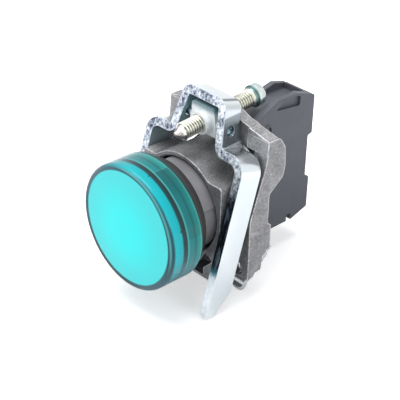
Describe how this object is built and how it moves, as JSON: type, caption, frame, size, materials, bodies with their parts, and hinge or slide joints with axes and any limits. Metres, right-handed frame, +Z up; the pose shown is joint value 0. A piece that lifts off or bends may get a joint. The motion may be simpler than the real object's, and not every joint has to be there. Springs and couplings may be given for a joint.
{
  "type": "panel pilot light",
  "caption": "Round teal signal light for a panel hole, with a die-cast fixing collar, a screw-tightened clamp bracket and a clip-on light block with screw terminals.",
  "frame": {"origin": "on the lamp's axis, in the plane of the panel's front face, where the gasket ends", "axes": "-Y is the way the lens looks, +Y goes through the panel to the terminals, +X is to the right of someone who looks at the lens, +Z is up"},
  "size_m": [0.0314, 0.0535, 0.0464],
  "materials": {
    "lens_teal": "smooth, translucent teal",
    "diffuser_milky": "satin, milky",
    "seal_rubber": "satin",
    "head_grey": "satin",
    "gasket_rubber": "matt",
    "zinc_casting": "as cast, satin",
    "plated_steel": "bright blue-white zinc plate",
    "nut_steel": "bright zinc plate",
    "screw_steel": "yellowish zinc plate",
    "lever_steel": "bright zinc plate",
    "block_plastic": "satin, dark grey",
    "board_laminate": "solder mask",
    "lamp_lens": "clear, slightly green",
    "clear_cap": "frosted, clear",
    "resistor_body": "satin lacquer",
    "chip_black": "moulded",
    "capacitor_film": "lacquered",
    "terminal_steel": "zinc plate",
    "washer_steel": "nickel plate",
    "strip_brass": "satin"
  },
  "bodies": {
    "base": {"head_body": "head_grey", "fixing_collar": "zinc_casting", "block_housing": "block_plastic", "block_cover": "block_plastic", "panel_gasket": "gasket_rubber", "lens_seal": "seal_rubber", "circuit_board": "board_laminate", "led_lamp": "lamp_lens", "lamp_cap": "clear_cap", "dropper_resistors": "resistor_body", "bridge_rectifier": "chip_black", "smoothing_capacitor": "capacitor_film", "contact_strip_upper": "strip_brass", "contact_strip_lower": "strip_brass"},
    "bracket": {"clamp_bracket": "plated_steel"},
    "nut": {"nut_plate": "nut_steel"},
    "screw": {"clamp_screw": "screw_steel"},
    "lever": {"latch_lever": "lever_steel"},
    "diffuser_cup": {"diffuser": "diffuser_milky"},
    "lens": {"lens_cap": "lens_teal"},
    "upper_washer": {"clamp_washer_upper": "washer_steel"},
    "upper_screw": {"terminal_screw_upper": "terminal_steel"},
    "lower_washer": {"clamp_washer_lower": "washer_steel"},
    "lower_screw": {"terminal_screw_lower": "terminal_steel"}
  },
  "joints": [
    {"name": "bracket_rock", "type": "hinge", "parent": "base", "child": "bracket", "pos_m": [0, 0.0102, 0], "axis": [1, 0, 0], "range_deg": [0, 14]},
    {"name": "nut_swivel", "type": "hinge", "parent": "bracket", "child": "nut", "pos_m": [0, 0.01132, 0.01874], "axis": [1, 0, 0], "range_deg": [-14, 0]},
    {"name": "clamp_screw_travel", "type": "slide", "parent": "nut", "child": "screw", "axis": [0, -0.9972, -0.075], "range_m": [-0.006, 0.0019]},
    {"name": "latch_turn", "type": "hinge", "parent": "base", "child": "lever", "pos_m": [0, 0.0177, 0], "axis": [0, 1, 0], "range_deg": [0, 40]},
    {"name": "diffuser_out", "type": "slide", "parent": "base", "child": "diffuser_cup", "axis": [0, -1, 0], "range_m": [0, 0.0025]},
    {"name": "lens_unscrew", "type": "hinge", "parent": "diffuser_cup", "child": "lens", "pos_m": [0, -0.007, 0], "axis": [0, -1, 0], "range_deg": [0, 900]},
    {"name": "upper_washer_lift", "type": "slide", "parent": "base", "child": "upper_washer", "axis": [0, 1, 0], "range_m": [0, 0.0014]},
    {"name": "upper_screw_turn", "type": "hinge", "parent": "upper_washer", "child": "upper_screw", "pos_m": [0, 0.034, 0.0114], "axis": [0, 1, 0], "range_deg": [0, 840]},
    {"name": "lower_washer_lift", "type": "slide", "parent": "base", "child": "lower_washer", "axis": [0, 1, 0], "range_m": [0, 0.0014]},
    {"name": "lower_screw_turn", "type": "hinge", "parent": "lower_washer", "child": "lower_screw", "pos_m": [0, 0.034, -0.0085], "axis": [0, 1, 0], "range_deg": [0, 840]}
  ],
  "couplings": [
    {"joint": "nut_swivel", "follows": "bracket_rock", "ratio": -1},
    {"joint": "diffuser_out", "follows": "lens_unscrew", "m_per_rad": 0.00015915},
    {"joint": "upper_screw_turn", "follows": "upper_washer_lift", "rad_per_m": 10472},
    {"joint": "lower_screw_turn", "follows": "lower_washer_lift", "rad_per_m": 10472}
  ]
}
